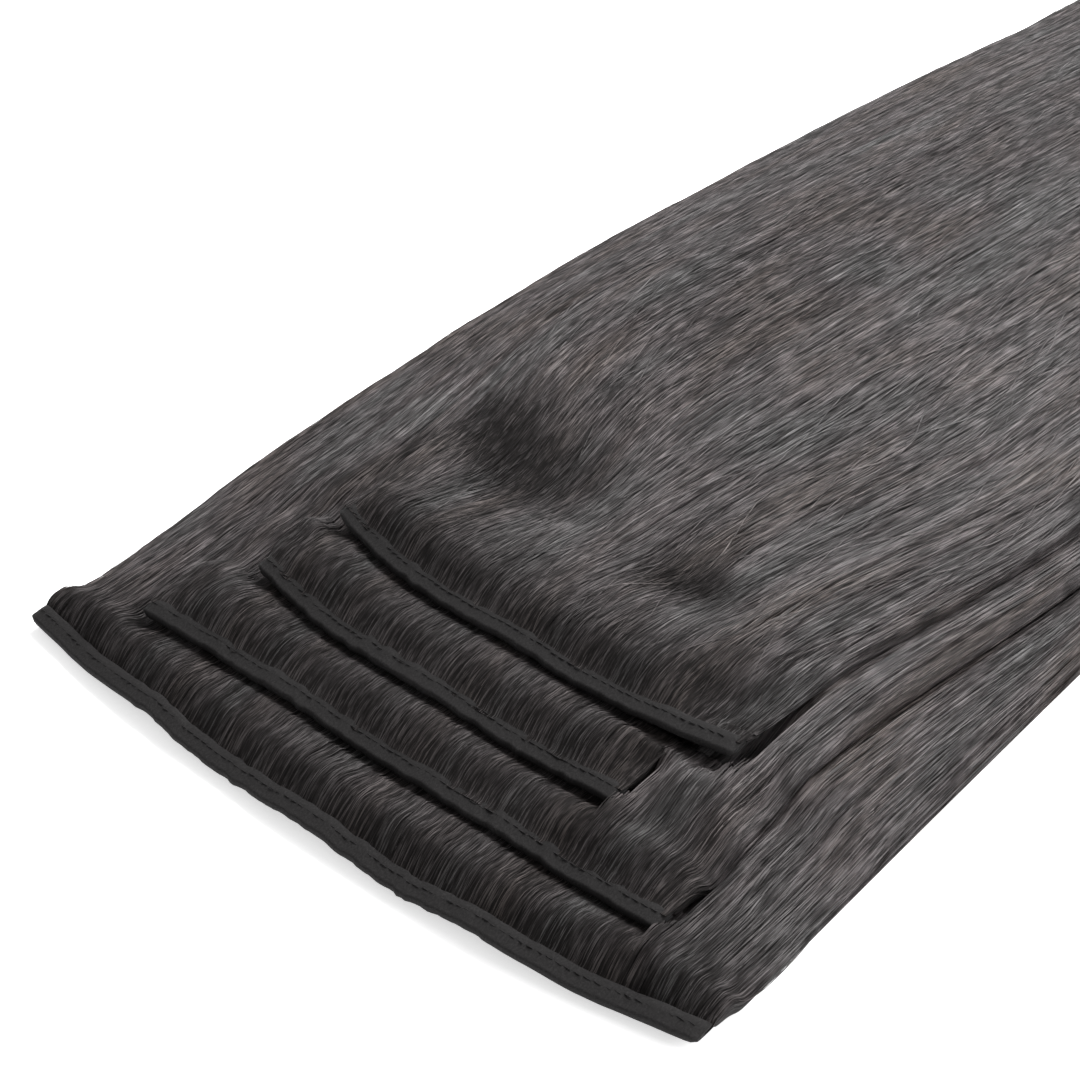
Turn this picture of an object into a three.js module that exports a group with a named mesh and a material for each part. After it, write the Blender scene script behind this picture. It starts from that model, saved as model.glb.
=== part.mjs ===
// Layered clip-in hair extension: four wefts of straight hair lying on a flat surface.
// The hair of each weft is sewn into a folded fabric band with snap clips under it. The widest weft
// lies at the bottom, and each further one lies on the hair of the last, a step nearer to the tips.
// Millimetres. X runs along the bands, Y from the bands to the tips, Z up from the surface.
import * as THREE from "three";
import { mergeVertices } from "three/addons/utils/BufferGeometryUtils.js";

// Length of the band of each weft, from the bottom to the top, and the hair that shows between bands
const WIDTH_1 = 203;
const WIDTH_2 = 157;
const WIDTH_3 = 116;
const WIDTH_4 = 124;
const SHOW = 14;

// Wefts from the bottom to the top. offset: middle of the band along X, as a share of its width.
// show: hair that shows before this band, as a share of SHOW. curlLeft, curlRight: how far each end
// of the band bends towards the tips, as shares of its width. clips: how many are sewn under it.
const WEFTS = [
  { width: WIDTH_1, offset: 0, show: 0, curlLeft: 0.033, curlRight: 0.052, clips: 4 },
  { width: WIDTH_2, offset: 0.013, show: 1.157, curlLeft: 0.003, curlRight: 0.016, clips: 3 },
  { width: WIDTH_3, offset: -0.03, show: 0.857, curlLeft: 0.065, curlRight: 0.02, clips: 2 },
  { width: WIDTH_4, offset: 0.052, show: 1.014, curlLeft: 0.079, curlRight: 0.043, clips: 2 },
];
const HAIR_LENGTH = 508;

// Folded band: two leaves of cloth, joined by the fold in front, with the hair's root between them
const BAND_DEPTH = 5;
const LEAF = 1;
const SLOT_DEPTH = 2.8;
const ROOT = 0.4;
const FOLD_HEIGHT = 2.2;
const FOLD_CORNER = 0.7;
const BAND_ARCH = 1.4;

// Snap clips
const CLIP_LENGTH = 32;
const CLIP_WIDTH = 9;
const CLIP_THICKNESS = 2;
const CLIP_CORNER = 3.2;
const CLIP_INSET = 3;
const CLIP_MARGIN = 6;

// Clearance between neighbouring pieces
const GAP = 0.3;

// Hair: thickness where the next weft presses on it, extra height where it is free, thickness at
// its side edges, at the ends of its band and at its tips, and how far a weft takes to reach its
// full thickness from the side
const PRESSED = 6.5;
const LOFT = 4.5;
const EDGE_THICKNESS = 1.6;
const BAND_END_THICKNESS = 5.5;
const TIP_THICKNESS = 1.2;
const EDGE_ROUND = 14;
const THINNING = 1.2;

// Upper surface of the whole stack: share of its height left at the sides, the rounding of each
// side, and the creases that part the free hair from the edges of the wefts lying on it
const SIDE_SHARE = 0.12;
const ROUND_LEFT = 70;
const ROUND_RIGHT = 46;
const FLANK = 0.8;
const CREASE_LEFT = 0.8;
const CREASE_RIGHT = 4.2;
const CREASE_END = 0.4;

// Locks: ridges along the hair behind the bands, and ragged tips
const TIP_RAGGED = 7;
const LOCK_DEPTH = 0.9;
const LOCK_TURN = 2.1;

// How far the hair fans out behind the last band, and over what length
const FAN = 0.62;
const FAN_LENGTH = 125;

// How far each side swells outwards, and where along the hair, as shares of its length
const SWELL_LEFT = 11.5;
const SWELL_RIGHT = -4;
const SWELL_START = 0.04;
const SWELL_END = 0.9;

// Thickness of the left side of the widest weft behind the bands
const SIDE_LEFT = 5;

// Dents in the top hair. across: from the middle, as a share of the top weft's half width.
// back: behind the top band, as a share of the hair length. Sizes and depth as shares likewise,
// the depth of the free height of the top weft.
const DENTS = [
  { across: -0.62, back: 0.085, wide: 0.3, long: 0.045, deep: 0.65 },
  { across: 0.3, back: 0.085, wide: 0.16, long: 0.035, deep: 0.34 },
];

// Hump of free hair behind a band: share of the crest's height at each row
const HUMP = { rise: 0.8, crest: 1, fall: 0.72 };

// Rows of the hair behind the last band, as shares of the way to the tips
const FAR_ROWS = [0.035, 0.075, 0.12, 0.17, 0.23, 0.3, 0.38, 0.47, 0.57, 0.68, 0.79, 0.9];

const COLUMN_STEP = 8.6;
const ROW_STEP = 1;
const CLOTH = { color: 0x1d1c1b, roughness: 0.92, metalness: 0 };
const HAIR = { color: 0x2b2725, roughness: 0.45, metalness: 0 };
const STEEL = { color: 0x2a2a2c, roughness: 0.4, metalness: 0.9 };

const BAND_HEIGHT = 2 * LEAF + ROOT + 2 * GAP;
const mix = (a, b, share) => a + (b - a) * share;
const clamp01 = (value) => Math.min(1, Math.max(0, value));

// Where each weft lies
const wefts = [];
for (const [index, size] of WEFTS.entries()) {
  const last = wefts[index - 1];
  const middle = size.offset * size.width;
  wefts.push({
    ...size,
    number: index + 1,
    middle,
    left: middle - size.width / 2,
    right: middle + size.width / 2,
    setback: last ? last.setback + BAND_DEPTH + size.show * SHOW : 0,
    seat: index * (PRESSED + GAP) + CLIP_THICKNESS + GAP,
  });
}
const lastWeft = wefts[wefts.length - 1];

// Front edge of a band at x, bent towards the tips at its ends
function frontOf(weft, x) {
  const side = Math.min(1, Math.max(-1, (x - weft.middle) / (weft.width / 2)));
  const curl = side < 0 ? weft.curlLeft : weft.curlRight;
  return weft.setback + curl * weft.width * Math.abs(side) ** 2.4;
}

// Middles of the clips under a band
function clipMiddles(weft) {
  const first = weft.left + CLIP_MARGIN + CLIP_LENGTH / 2;
  const pitch = (weft.width - 2 * CLIP_MARGIN - CLIP_LENGTH) / (weft.clips - 1);
  return Array.from({ length: weft.clips }, (_, n) => first + n * pitch);
}

// Lower face of a band at x: it rests on its clips and arches between them
function seatOf(weft, x) {
  const middles = clipMiddles(weft);
  const pitch = middles[1] - middles[0];
  const turns = clamp01((x - middles[0]) / (pitch * (weft.clips - 1))) * (weft.clips - 1);
  return weft.seat + BAND_ARCH * Math.sin(Math.PI * turns) ** 2;
}

// Columns of the hair across the bands: every band end is one, with even steps between them
function makeColumns() {
  const ends = wefts.flatMap((weft) => [weft.left, weft.right]).sort((a, b) => a - b);
  const columns = [ends[0]];
  for (const end of ends.slice(1)) {
    const start = columns[columns.length - 1];
    const steps = Math.ceil((end - start) / COLUMN_STEP - 1e-9);
    for (let step = 1; step <= steps; step += 1) {
      columns.push(mix(start, end, step / steps));
    }
  }
  return columns;
}

// Rows of the hair along its length. y tells where a row lies at x, before rows are kept in order.
function makeRows() {
  const rows = [];
  for (const weft of wefts) {
    const at = (kind, y) => rows.push({ kind, weft: weft.number, y });
    const next = wefts[weft.number];
    const back = (x) => frontOf(weft, x) + BAND_DEPTH;
    const exit = (x) => back(x) + GAP + ROOT;
    const crest = (x) => frontOf(weft, x) + CLIP_INSET + CLIP_WIDTH + GAP;
    if (weft.number > 1) {
      at("front", (x) => frontOf(weft, x) - GAP);
    }
    at("lip", (x) => back(x) - SLOT_DEPTH + GAP);
    at("mouth", (x) => back(x) + GAP);
    at("exit", exit);
    at("rise", (x) => mix(exit(x), crest(x), 0.5));
    at("crest", crest);
    if (next) {
      at("fall", (x) => mix(crest(x), frontOf(next, x) - GAP, 0.65));
    }
  }
  const start = (x) => frontOf(lastWeft, x) + CLIP_INSET + CLIP_WIDTH + GAP;
  const end = (x) => frontOf(wefts[0], x) + HAIR_LENGTH;
  for (const share of FAR_ROWS) {
    rows.push({ kind: "far", weft: lastWeft.number, share, y: (x) => mix(start(x), end(x), share) });
  }
  for (const weft of wefts) {
    rows.push({ kind: "tip", weft: weft.number, share: 1, y: (x) => frontOf(weft, x) + HAIR_LENGTH });
  }
  return rows;
}

const columns = makeColumns();
const rows = makeRows();
const columnOf = (x) => columns.findIndex((column) => Math.abs(column - x) < 1e-6);
const rowOf = (kind, number) => rows.findIndex((row) => row.kind === kind && row.weft === number);

// Outward swell of the hair at its sides, from the left (-1) to the right (1). Beside the bands it
// takes only the hair outside them, and behind them all of it.
function swellAt(side, y) {
  const share = clamp01((y / HAIR_LENGTH - SWELL_START) / (SWELL_END - SWELL_START));
  const swell = side < 0 ? SWELL_LEFT : SWELL_RIGHT;
  const banded = wefts[1].width / wefts[0].width;
  const outside = clamp01((Math.abs(side) - banded) / (1 - banded));
  const behind = clamp01((y - lastWeft.setback - BAND_DEPTH - 2 * CLIP_WIDTH) / FAN_LENGTH);
  return Math.sign(side) * swell * Math.sin(Math.PI * share) * mix(outside, side * side, behind);
}

// Place of each column on each row, seen from above: rows stay in order, the hair fans out
// behind the last band, and its tips are ragged
function makePlan() {
  const half = (wefts[0].right - wefts[0].left) / 2;
  const { middle } = wefts[0];
  return columns.map((x, column) => {
    let y = -Infinity;
    return rows.map((row) => {
      y = Math.max(row.y(x), y + ROW_STEP);
      const far = y - lastWeft.setback - BAND_DEPTH - CLIP_WIDTH;
      const fan = FAN * (1 - Math.cos(Math.PI * clamp01(far / FAN_LENGTH))) / 2;
      const side = (x - middle) / half;
      const ragged = row.kind === "tip" ? TIP_RAGGED * Math.sin(LOCK_TURN * column + row.weft) : 0;
      const fanned = middle + half * side * (1 + fan * (1 - Math.abs(side)));
      return { x: fanned + swellAt(side, y), y: y + ragged };
    });
  });
}
const plan = makePlan();

// Range of columns and rows that a weft's hair takes
for (const weft of wefts) {
  weft.firstColumn = columnOf(weft.left);
  weft.lastColumn = columnOf(weft.right);
  weft.firstRow = rowOf("lip", weft.number);
  weft.lastRow = rowOf("tip", weft.number);
}
const holds = (weft, column, row) =>
  column >= weft.firstColumn && column <= weft.lastColumn && row >= weft.firstRow && row <= weft.lastRow;

// How much of the hair is left along its length, from 1 at the bands to the share at the tips
function thinShare(row) {
  return 1 - (1 - TIP_THICKNESS / PRESSED) * (rows[row].share ?? 0) ** THINNING;
}

// Share of the full thickness at a distance from a side edge
const roundShare = (inside, reach) => Math.sin((Math.PI / 2) * clamp01(inside / reach));

// How far the left side has reached its thickness at a row
function sideShare(row) {
  const [start, end] = [rowOf("crest", 2), rowOf("crest", wefts.length)];
  return clamp01((row - start) / (end - start));
}

// Thickness near the sides of a weft
function edgeThickness(weft, column, full, edge = EDGE_THICKNESS) {
  const inside = Math.min(columns[column] - weft.left, weft.right - columns[column]);
  return mix(Math.min(edge, full), full, roundShare(inside, EDGE_ROUND));
}

// Upper surface of the whole stack at a place of the grid, creases and dents left out
function stackHeight(column, row) {
  const { kind, weft: owner } = rows[row];
  const [widest] = wefts;
  const left = roundShare(columns[column] - widest.left, ROUND_LEFT);
  const right = roundShare(widest.right - columns[column], ROUND_RIGHT);
  const first = Math.max(0, rowOf("front", owner));
  const grown = clamp01((row - first) / (rowOf("crest", owner) - first));
  const layers = kind === "tip" ? wefts.length + 1 - owner : owner - 1 + grown;
  const full = layers * (PRESSED + GAP) + LOFT;
  return full * thinShare(row) * mix(SIDE_SHARE, 1, Math.min(left, right));
}

// How far inside the wefts above a place lies, below 0 where its hair is free
function coverDepth(weft, column, row) {
  const x = columns[column];
  const above = wefts.slice(weft.number).filter((upper) => row >= rowOf("front", upper.number));
  return Math.max(-1, ...above.map((upper) => Math.min(x - upper.left, upper.right - x)));
}

// Whether the clips of a band lie over a place of the hair below it
function underClips(weft, column, row) {
  const x = columns[column];
  return wefts.slice(weft.number).some((upper) => {
    const inRows = row >= rowOf("front", upper.number) && row <= rowOf("crest", upper.number);
    return inRows && x > upper.left - ROW_STEP && x < upper.right + ROW_STEP;
  });
}

// Depth of the crease at the side edge of a weft, which closes along the hair
function creaseDepth(column, row) {
  const deep = columns[column] < wefts[0].middle ? CREASE_LEFT : CREASE_RIGHT;
  return deep * clamp01(1 - (rows[row].share ?? 0) / CREASE_END);
}

// Depth of the dents at a place in the top hair
function dentDepth(weft, place) {
  if (weft !== lastWeft) {
    return 0;
  }
  let depth = 0;
  for (const dent of DENTS) {
    const across = (place.x - weft.middle) / (weft.width / 2) - dent.across;
    const back = (place.y - weft.setback - BAND_DEPTH) / HAIR_LENGTH - dent.back;
    depth += dent.deep * Math.exp(-((across / dent.wide) ** 2) - (back / dent.long) ** 2);
  }
  return depth * (PRESSED + LOFT);
}

// Locks: ridges along the hair that grow behind the bands
function lockRelief(column, row) {
  const grown = clamp01((rows[row].share ?? 0) / FAR_ROWS[2]);
  return LOCK_DEPTH * Math.sin(LOCK_TURN * column) * grown * thinShare(row);
}

// Hair of a weft at its own band: root in the slot, then the hump behind it
function rootSpan(weft, column, kind, floor) {
  const seat = seatOf(weft, columns[column]);
  const thick = (loft) => edgeThickness(weft, column, PRESSED + loft, BAND_END_THICKNESS);
  const hump = Math.max(floor + thick(LOFT), seat + EDGE_THICKNESS);
  const spans = {
    lip: { low: seat + LEAF + GAP, high: seat + LEAF + GAP + ROOT },
    mouth: { low: seat + LEAF + GAP, high: seat + LEAF + GAP + ROOT },
    exit: { low: seat, high: Math.min(seat + BAND_HEIGHT, hump) },
    rise: { low: seat, high: mix(Math.min(seat + BAND_HEIGHT, hump), hump, HUMP.rise) },
    crest: { low: seat, high: hump },
    fall: { low: floor, high: floor + thick(LOFT * HUMP.fall) },
  };
  return spans[kind];
}

// Lowest and highest point of a weft's hair at a place of the grid
function hairSpan(weft, column, row, floor) {
  const { kind, weft: owner } = rows[row];
  if (owner === weft.number && kind !== "far" && kind !== "tip") {
    return rootSpan(weft, column, kind, floor);
  }
  const pressed = floor + edgeThickness(weft, column, PRESSED * thinShare(row));
  if (underClips(weft, column, row)) {
    return { low: floor, high: pressed };
  }
  const stack = stackHeight(column, row);
  const crease = creaseDepth(column, row);
  const cover = coverDepth(weft, column, row);
  const atEdge = columns[column] === weft.left || columns[column] === weft.right;
  const least = floor + TIP_THICKNESS;
  if (cover >= 0) {
    const rim = Math.max(pressed, stack - crease - GAP - EDGE_THICKNESS);
    return { low: floor, high: Math.max(mix(rim, pressed, clamp01(cover / EDGE_ROUND)), least) };
  }
  if (atEdge) {
    const edge = column === 0 ? mix(EDGE_THICKNESS, SIDE_LEFT, sideShare(row)) : EDGE_THICKNESS;
    return { low: floor, high: floor + Math.max(edge * thinShare(row), TIP_THICKNESS) };
  }
  const flank = floor + edgeThickness(weft, column, (PRESSED + LOFT * FLANK) * thinShare(row));
  const relief = lockRelief(column, row) - dentDepth(weft, plan[column][row]);
  return { low: floor, high: Math.max(Math.max(stack, flank) + relief, least) };
}

// Heights of every weft's hair on the grid, each lying on the ones below
function makeSpans() {
  const spans = wefts.map(() => columns.map(() => []));
  columns.forEach((_, column) => {
    rows.forEach((__, row) => {
      let floor = 0;
      for (const [index, weft] of wefts.entries()) {
        if (holds(weft, column, row)) {
          spans[index][column][row] = hairSpan(weft, column, row, floor);
          floor = Math.max(floor, spans[index][column][row].high + GAP);
        }
      }
    });
  });
  return spans;
}
const spans = makeSpans();

// Closed body from its corners and triangles
function meshFrom(name, corners, triangles, look) {
  let geometry = new THREE.BufferGeometry();
  geometry.setAttribute("position", new THREE.Float32BufferAttribute(corners, 3));
  geometry.setIndex(triangles);
  geometry = mergeVertices(geometry.toNonIndexed());
  geometry.computeVertexNormals();
  const mesh = new THREE.Mesh(geometry, new THREE.MeshStandardMaterial(look));
  mesh.name = name;
  return mesh;
}

// First row from which the underside of a weft's hair lies flat on the surface
function flatFrom(weft, span) {
  let row = weft.lastRow;
  const lies = (column, place) => !holds(weft, column, place) || span[column][place].low === 0;
  const isFlat = (place) => columns.every((_, column) => lies(column, place));
  while (row > weft.firstRow && isFlat(row - 1)) {
    row -= 1;
  }
  return row - weft.firstRow;
}

// Triangles of the flat underside, from its rim alone
function flatFace(flat, wide, long, bottom, corners) {
  if (flat >= long - 1) {
    return [];
  }
  const rim = [];
  for (let j = flat; j < long - 1; j += 1) {
    rim.push(bottom(0, j));
  }
  for (let i = 0; i < wide - 1; i += 1) {
    rim.push(bottom(i, long - 1));
  }
  for (let j = long - 1; j > flat; j -= 1) {
    rim.push(bottom(wide - 1, j));
  }
  for (let i = wide - 1; i > 0; i -= 1) {
    rim.push(bottom(i, flat));
  }
  const outline = rim.map((corner) => new THREE.Vector2(corners[3 * corner], corners[3 * corner + 1]));
  return THREE.ShapeUtils.triangulateShape(outline, []).flatMap(([a, b, c]) => [rim[a], rim[c], rim[b]]);
}

// Hair of a weft: upper and lower surface on the grid, and walls all round
function makeHair(weft) {
  const span = spans[weft.number - 1];
  const wide = weft.lastColumn - weft.firstColumn + 1;
  const long = weft.lastRow - weft.firstRow + 1;
  const corners = [];
  for (const side of ["high", "low"]) {
    for (let column = weft.firstColumn; column <= weft.lastColumn; column += 1) {
      for (let row = weft.firstRow; row <= weft.lastRow; row += 1) {
        const place = plan[column][row];
        corners.push(place.x, place.y, span[column][row][side]);
      }
    }
  }
  const top = (i, j) => i * long + j;
  const bottom = (i, j) => wide * long + i * long + j;
  const flat = flatFrom(weft, span);
  const triangles = [];
  for (let i = 0; i < wide - 1; i += 1) {
    for (let j = 0; j < long - 1; j += 1) {
      triangles.push(top(i, j), top(i + 1, j), top(i + 1, j + 1));
      triangles.push(top(i, j), top(i + 1, j + 1), top(i, j + 1));
      if (j < flat) {
        triangles.push(bottom(i, j), bottom(i + 1, j + 1), bottom(i + 1, j));
        triangles.push(bottom(i, j), bottom(i, j + 1), bottom(i + 1, j + 1));
      }
    }
    triangles.push(bottom(i, 0), bottom(i + 1, 0), top(i + 1, 0));
    triangles.push(bottom(i, 0), top(i + 1, 0), top(i, 0));
    triangles.push(bottom(i, long - 1), top(i, long - 1), top(i + 1, long - 1));
    triangles.push(bottom(i, long - 1), top(i + 1, long - 1), bottom(i + 1, long - 1));
  }
  for (let j = 0; j < long - 1; j += 1) {
    triangles.push(bottom(0, j), top(0, j), top(0, j + 1));
    triangles.push(bottom(0, j), top(0, j + 1), bottom(0, j + 1));
    triangles.push(bottom(wide - 1, j), top(wide - 1, j + 1), top(wide - 1, j));
    triangles.push(bottom(wide - 1, j), bottom(wide - 1, j + 1), top(wide - 1, j + 1));
  }
  triangles.push(...flatFace(flat, wide, long, bottom, corners));
  return meshFrom(`hair_${weft.number}`, corners, triangles, HAIR);
}

// Section of a folded band: depth from its front edge and height above its lower face. The fold
// in front is lower than the back, where the root lies between the leaves.
function bandSection() {
  const slotFront = BAND_DEPTH - SLOT_DEPTH;
  return [
    { depth: FOLD_CORNER, height: 0 },
    { depth: BAND_DEPTH, height: 0 },
    { depth: BAND_DEPTH, height: LEAF },
    { depth: slotFront, height: LEAF },
    { depth: slotFront, height: BAND_HEIGHT - LEAF },
    { depth: BAND_DEPTH, height: BAND_HEIGHT - LEAF },
    { depth: BAND_DEPTH, height: BAND_HEIGHT },
    { depth: slotFront, height: BAND_HEIGHT },
    { depth: FOLD_CORNER, height: FOLD_HEIGHT },
    { depth: 0, height: FOLD_HEIGHT / 2 },
  ];
}

// Folded band of a weft, with a section at each column of its hair
function makeBand(weft) {
  const section = bandSection();
  const count = section.length;
  const stations = columns.slice(weft.firstColumn, weft.lastColumn + 1);
  const corners = [];
  for (const x of stations) {
    for (const point of section) {
      corners.push(x, frontOf(weft, x) + point.depth, seatOf(weft, x) + point.height);
    }
  }
  const triangles = [];
  for (let station = 0; station < stations.length - 1; station += 1) {
    for (let point = 0; point < count; point += 1) {
      const a = station * count + point;
      const b = station * count + ((point + 1) % count);
      triangles.push(a, b, b + count, a, b + count, a + count);
    }
  }
  const outline = section.map((point) => new THREE.Vector2(point.depth, point.height));
  const end = (stations.length - 1) * count;
  for (const [a, b, c] of THREE.ShapeUtils.triangulateShape(outline, [])) {
    triangles.push(a, c, b, end + a, end + b, end + c);
  }
  return meshFrom(`band_${weft.number}`, corners, triangles, CLOTH);
}

// Outline of a snap clip, seen from above, with its middle at the origin
function clipOutline() {
  const long = CLIP_LENGTH / 2;
  const wide = CLIP_WIDTH / 2;
  const corner = CLIP_CORNER;
  const shape = new THREE.Shape();
  shape.moveTo(-long + corner, -wide);
  shape.lineTo(long - corner, -wide);
  shape.absarc(long - corner, -wide + corner, corner, -Math.PI / 2, 0);
  shape.lineTo(long, wide - corner);
  shape.absarc(long - corner, wide - corner, corner, 0, Math.PI / 2);
  shape.lineTo(-long + corner, wide);
  shape.absarc(-long + corner, wide - corner, corner, Math.PI / 2, Math.PI);
  shape.lineTo(-long, -wide + corner);
  shape.absarc(-long + corner, -wide + corner, corner, Math.PI, 1.5 * Math.PI);
  return shape;
}

// Snap clips under a band, one flat plate each
function makeClips(weft) {
  return clipMiddles(weft).map((x, index) => {
    const options = { depth: CLIP_THICKNESS, bevelEnabled: false, curveSegments: 4 };
    const plate = mergeVertices(new THREE.ExtrudeGeometry(clipOutline(), options).deleteAttribute("uv"));
    const mesh = new THREE.Mesh(plate, new THREE.MeshStandardMaterial(STEEL));
    mesh.name = `clip_${weft.number}_${index + 1}`;
    const slope = Math.atan2(frontOf(weft, x + 1) - frontOf(weft, x - 1), 2);
    mesh.rotation.z = slope;
    mesh.position.set(x, frontOf(weft, x) + CLIP_INSET + CLIP_WIDTH / 2, weft.seat - GAP - CLIP_THICKNESS);
    return mesh;
  });
}

// The whole extension, standing on the surface over the middle of its bounding box
const pieces = new THREE.Group();
for (const weft of wefts) {
  pieces.add(makeBand(weft), makeHair(weft), ...makeClips(weft));
}
const box = new THREE.Box3().setFromObject(pieces);
const middle = box.getCenter(new THREE.Vector3());
pieces.position.set(-middle.x, -middle.y, -box.min.z);

const extension = new THREE.Group();
extension.add(pieces);

export default extension;
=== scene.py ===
"""Layered clip-in hair extension: strands, cloth bands and light, built round its solid frame.

Metres. X runs along the bands, Y from the bands to the hair tips, Z up from the surface.
"""

import math

import bpy
import numpy as np
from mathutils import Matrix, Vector
from mathutils.bvhtree import BVHTree


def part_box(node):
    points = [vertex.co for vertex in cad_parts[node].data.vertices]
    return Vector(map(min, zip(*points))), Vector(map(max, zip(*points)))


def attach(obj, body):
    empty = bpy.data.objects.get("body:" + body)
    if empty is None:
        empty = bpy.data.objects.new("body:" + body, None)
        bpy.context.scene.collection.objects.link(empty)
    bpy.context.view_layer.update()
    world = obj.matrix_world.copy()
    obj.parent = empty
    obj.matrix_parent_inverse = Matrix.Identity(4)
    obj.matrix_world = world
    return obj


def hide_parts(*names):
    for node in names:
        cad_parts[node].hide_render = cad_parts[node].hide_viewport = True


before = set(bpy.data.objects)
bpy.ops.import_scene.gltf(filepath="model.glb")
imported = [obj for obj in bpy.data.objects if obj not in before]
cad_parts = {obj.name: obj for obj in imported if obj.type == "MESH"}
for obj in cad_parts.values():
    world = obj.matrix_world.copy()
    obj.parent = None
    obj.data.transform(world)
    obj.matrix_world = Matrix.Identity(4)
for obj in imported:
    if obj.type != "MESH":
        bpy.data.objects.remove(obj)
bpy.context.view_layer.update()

MM = 0.001
NUMBERS = (1, 2, 3, 4)

# Sizes of the solid frame that can't be read from its boxes
BAND_DEPTH = 5.0 * MM
BAND_HEIGHT = 3.0 * MM
FOLD_HEIGHT = 2.2 * MM
SLOT_DEPTH = 2.8 * MM
SLOT_HEIGHT = 1.5 * MM
CLIP_WIDTH = 9.0 * MM
HAIR_LENGTH = 508.0 * MM
FAN = 0.62
FAN_LENGTH = 125.0 * MM
SWELL_LEFT = 11.5 * MM
SWELL_RIGHT = -4.0 * MM
SWELL_START = 0.04
SWELL_END = 0.9

# Hair texture coordinates: the span across that is one unit, and the length that is one unit
SPAN = 0.21
LENGTH = 0.53
HAIR_MAP = "OFBake"

BAND_END = 2.5 * MM
SURFACE_STEP_X = 2.0 * MM
SURFACE_STEP_Y = 1.0 * MM
STRAND_WIDTH = 0.24 * MM
TUCK = 10.0 * MM

# How far before the back of each band its hair comes up through the cloth, and the hollow left
# under the next band
SEAMS = {1: 0.3 * MM, 2: 1.8 * MM, 3: 1.8 * MM, 4: 1.8 * MM}
HOLLOW = 0.5 * MM
CREST = 0.5 * MM
WEDGE = 2.2 * MM
WEDGE_WIDTH = 45.0 * MM
POCKET_WIDTH = 7.0 * MM

# Free hair beside the end of a band is pushed up to this share of the band's height, from this far
# behind its front edge
PUSH_WIDTH = 9.0 * MM
PUSH_SHARES = {2: 1.1, 3: 1.1, 4: 0.15}
PUSH_START_LEFT = 1.0 * MM
PUSH_START_RIGHT = -9.0 * MM
CREVICE = 2.6 * MM

# Hollows in the top hair: centre, half sizes along and across a line turned by an angle, depth
HOLLOWS = (
    (-32.0 * MM, -172.0 * MM, 33.0 * MM, 19.0 * MM, -27.0, 4.6 * MM),
    (32.0 * MM, -189.0 * MM, 15.0 * MM, 10.0 * MM, -20.0, 2.4 * MM),
)
HOLLOW_FLOOR = 1.0 * MM

# Long folds in the hair: weft, both ends, depth
FOLDS = (
    (4, (43.6 * MM, -213.0 * MM), (52.1 * MM, -188.0 * MM), 0.9 * MM),
    (4, (53.5 * MM, -202.0 * MM), (62.0 * MM, -178.0 * MM), 1.1 * MM),
    (4, (12.0 * MM, -150.0 * MM), (22.0 * MM, -90.0 * MM), 0.8 * MM),
    (4, (-20.0 * MM, -110.0 * MM), (-24.0 * MM, -30.0 * MM), 0.8 * MM),
    (2, (69.4 * MM, -232.0 * MM), (76.3 * MM, -213.0 * MM), 0.9 * MM),
    (1, (83.2 * MM, -234.0 * MM), (82.0 * MM, -205.0 * MM), 1.2 * MM),
    (2, (74.7 * MM, -244.0 * MM), (79.4 * MM, -220.0 * MM), 0.9 * MM),
)
FOLD_WIDTH = 0.8 * MM

# Dark pockets in front of the left ends of the upper bands: half sizes and depth
POCKET_REACH = 5.0 * MM
POCKET_DEPTH = 1.2 * MM

# Painted shade: hair near its roots and in the hollows of the top weft is darkened in its colour, and
# made duller, by this share
ROOT_SHADE = 0.78
ROOT_SHADE_LENGTH = 34.0 * MM
HOLLOW_SHADE = 1.0

# Hump behind a band, and where its locks start to show: distances behind the band
HUMP_RISE = 3.0 * MM
HUMP_LENGTH = 14.0 * MM
LOCKS_START = 4.0 * MM
LOCKS_EASE = 26.0 * MM

# Relief of the upper surface: shift along and lift of the humps, ripple on them, three sizes of lock
HUMP_SHIFT = 0.3 * MM
HUMP_LIFT = 0.4 * MM
HUMP_RIPPLE = 0.05 * MM
FINE_LOCKS = 0.05 * MM
MIDDLE_LOCKS = 0.07 * MM
WIDE_LOCKS = 0.25 * MM

# Strands: how many on each weft, covered and free, on either side and loose on top
STRAND_COUNTS = {1: 2900, 2: 2700, 3: 2200}
FREE_COUNTS = {1: 480, 2: 300, 3: 90}
TOP_COUNT = 1150
TOP_SIDE_COUNT = 110
SIDE_COUNT = 90
FLYAWAYS = 70
FLYAWAY_WANDER = 5.0 * MM

# Strands: drift in common and apart, waves up and down, scatter of the tips, share cut short and
# by how much, roll in degrees, and the share of the length at which they start to taper
DRIFT_WIDE = 0.9 * MM
DRIFT_FINE = 0.15 * MM
WAVE_HEIGHT = 0.12 * MM
TIP_SCATTER = 5.0 * MM
CUT_SHARE = 0.2
CUT_LENGTH = 60
ROLL_SPREAD = 7
ROLL_WAVE = 8
TAPER_START = 0.965
TAPER = 0.75

# Bodies under the strands: step along X, how far they stop before the tips and under the surface
BODY_STEP = 3.0 * MM
BODY_END = 16.0 * MM
BODY_SUNK = 0.75 * MM

BAND_STEP = 1.2 * MM

# Streaks on the hair: how many across and along one unit of its texture coordinates, and detail
FINE_STREAKS = (760.0, 70.0, 3.0)
BROAD_STREAKS = (110.0, 14.0, 2.0)
TINT_STREAKS = (15.0, 9.0, 1.0)
RIDGE_STREAKS = (620.0, 7.0, 3.0)
BROAD_SHARE = 0.28
TINT_SHARE = 0.42
# Fine streaks over this range scale the painted shade by the first factor at its low end and the
# second at its high end
STREAK_RANGE = (0.38, 0.62)
STREAK_SHADES = (1.5, 0.75)

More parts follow.
